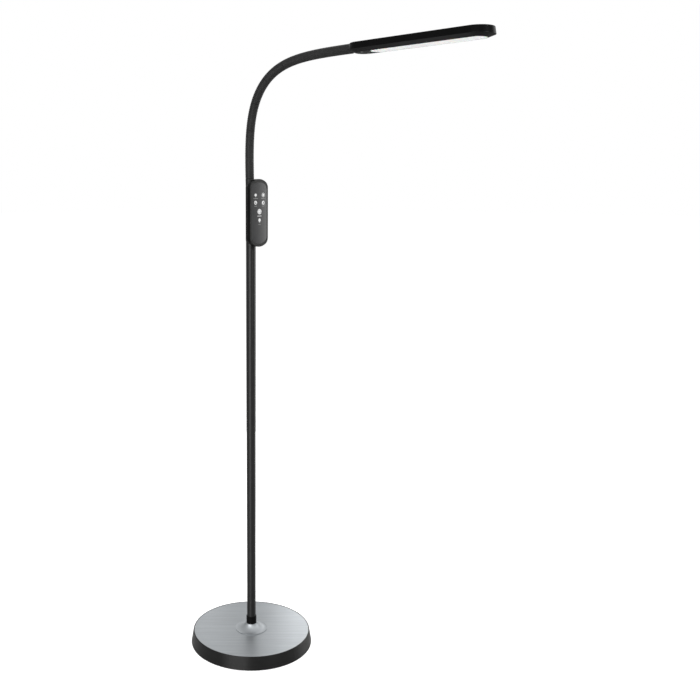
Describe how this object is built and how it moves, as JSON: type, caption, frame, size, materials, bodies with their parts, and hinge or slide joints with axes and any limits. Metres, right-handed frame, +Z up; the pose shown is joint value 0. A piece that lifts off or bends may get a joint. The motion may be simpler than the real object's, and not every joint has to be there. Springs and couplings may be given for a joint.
{
  "type": "gooseneck reading floor lamp",
  "caption": "Floor lamp with a weighted round base, slim column, touch control unit and a flat LED head on a flexible gooseneck.",
  "frame": {"origin": "on the floor under the middle of the round base", "axes": "+Z up along the column, +X the way the arm reaches and the touch panel faces, Y across"},
  "size_m": [0.6593, 0.2596, 1.2173],
  "materials": {
    "satin_black_shell": "satin",
    "brushed_disc": "brushed",
    "cast_weight": "rough",
    "screws": "zinc plated",
    "feet": "matte",
    "bright_turned": "turned",
    "pole_black": "satin powder coat",
    "hose_black": "satin",
    "unit_black": "satin",
    "touch_gloss": "gloss",
    "board": "solder mask",
    "lead": "matte",
    "head_black": "satin",
    "opal": "opal",
    "white_reflector": "white",
    "board_metal": "white mask",
    "chips": "phosphor"
  },
  "bodies": {
    "root": {"base_skirt": "satin_black_shell", "base_top_plate": "brushed_disc", "base_bottom_cover": "satin_black_shell", "ballast_weight": "cast_weight", "base_screws": "screws", "rubber_feet": "feet", "base_hub": "bright_turned", "base_collar": "bright_turned", "pole_stud": "screws", "stud_washer": "screws", "stud_nut": "screws", "pole_ferrule": "unit_black", "pole_foot_plug": "screws", "lower_pole": "pole_black", "pole_joiner": "screws", "upper_pole": "pole_black", "control_rear_shell": "unit_black", "control_bezel": "unit_black", "touch_panel": "touch_gloss", "control_board": "board", "board_connector": "unit_black", "unit_screws": "screws", "power_inlet": "unit_black", "supply_lead": "lead", "hose_root": "hose_black"},
    "hose_link_01": {"hose_link_01": "hose_black"},
    "hose_link_02": {"hose_link_02": "hose_black"},
    "hose_link_03": {"hose_link_03": "hose_black"},
    "hose_link_04": {"hose_link_04": "hose_black"},
    "hose_link_05": {"hose_link_05": "hose_black"},
    "hose_link_06": {"hose_link_06": "hose_black"},
    "hose_link_07": {"hose_link_07": "hose_black"},
    "lamp_head": {"hose_tip": "hose_black", "head_housing": "head_black", "head_frame": "head_black", "head_diffuser": "opal", "head_reflector": "white_reflector", "led_board": "board_metal", "led_chips": "chips", "head_screws": "screws"}
  },
  "joints": [
    {"name": "neck_bend_lower", "type": "hinge", "parent": "root", "child": "hose_link_01", "pos_m": [-0.00309, 0, 1.00198], "axis": [0, 1, 0], "range_deg": [-18, 18]},
    {"name": "neck_side_bend", "type": "hinge", "parent": "hose_link_01", "child": "hose_link_02", "pos_m": [-0.00279, 0, 1.05477], "axis": [0.9988, 0, -0.0484], "range_deg": [-18, 18]},
    {"name": "neck_bend_lower_2", "type": "hinge", "parent": "hose_link_02", "child": "hose_link_03", "pos_m": [0.00423, 0, 1.10702], "axis": [0, 1, 0], "range_deg": [-18, 18]},
    {"name": "neck_bend_upper", "type": "hinge", "parent": "hose_link_03", "child": "hose_link_04", "pos_m": [0.02633, 0, 1.15456], "axis": [0, 1, 0], "range_deg": [-18, 18]},
    {"name": "neck_side_bend_2", "type": "hinge", "parent": "hose_link_04", "child": "hose_link_05", "pos_m": [0.06712, 0, 1.18731], "axis": [0.4357, 0, -0.9001], "range_deg": [-18, 18]},
    {"name": "neck_bend_upper_2", "type": "hinge", "parent": "hose_link_05", "child": "hose_link_06", "pos_m": [0.11756, 0, 1.20229], "axis": [0, 1, 0], "range_deg": [-18, 18]},
    {"name": "neck_side_bend_3", "type": "hinge", "parent": "hose_link_06", "child": "hose_link_07", "pos_m": [0.1701, 0, 1.20728], "axis": [0.0468, 0, -0.9989], "range_deg": [-18, 18]},
    {"name": "neck_bend_upper_3", "type": "hinge", "parent": "hose_link_07", "child": "lamp_head", "pos_m": [0.22288, 0, 1.20855], "axis": [0, 1, 0], "range_deg": [-18, 18]}
  ],
  "couplings": [
    {"joint": "neck_bend_lower_2", "follows": "neck_bend_lower", "ratio": 1},
    {"joint": "neck_side_bend_2", "follows": "neck_side_bend", "ratio": 1},
    {"joint": "neck_side_bend_3", "follows": "neck_side_bend", "ratio": 1},
    {"joint": "neck_bend_upper_2", "follows": "neck_bend_upper", "ratio": 1},
    {"joint": "neck_bend_upper_3", "follows": "neck_bend_upper", "ratio": 1}
  ]
}
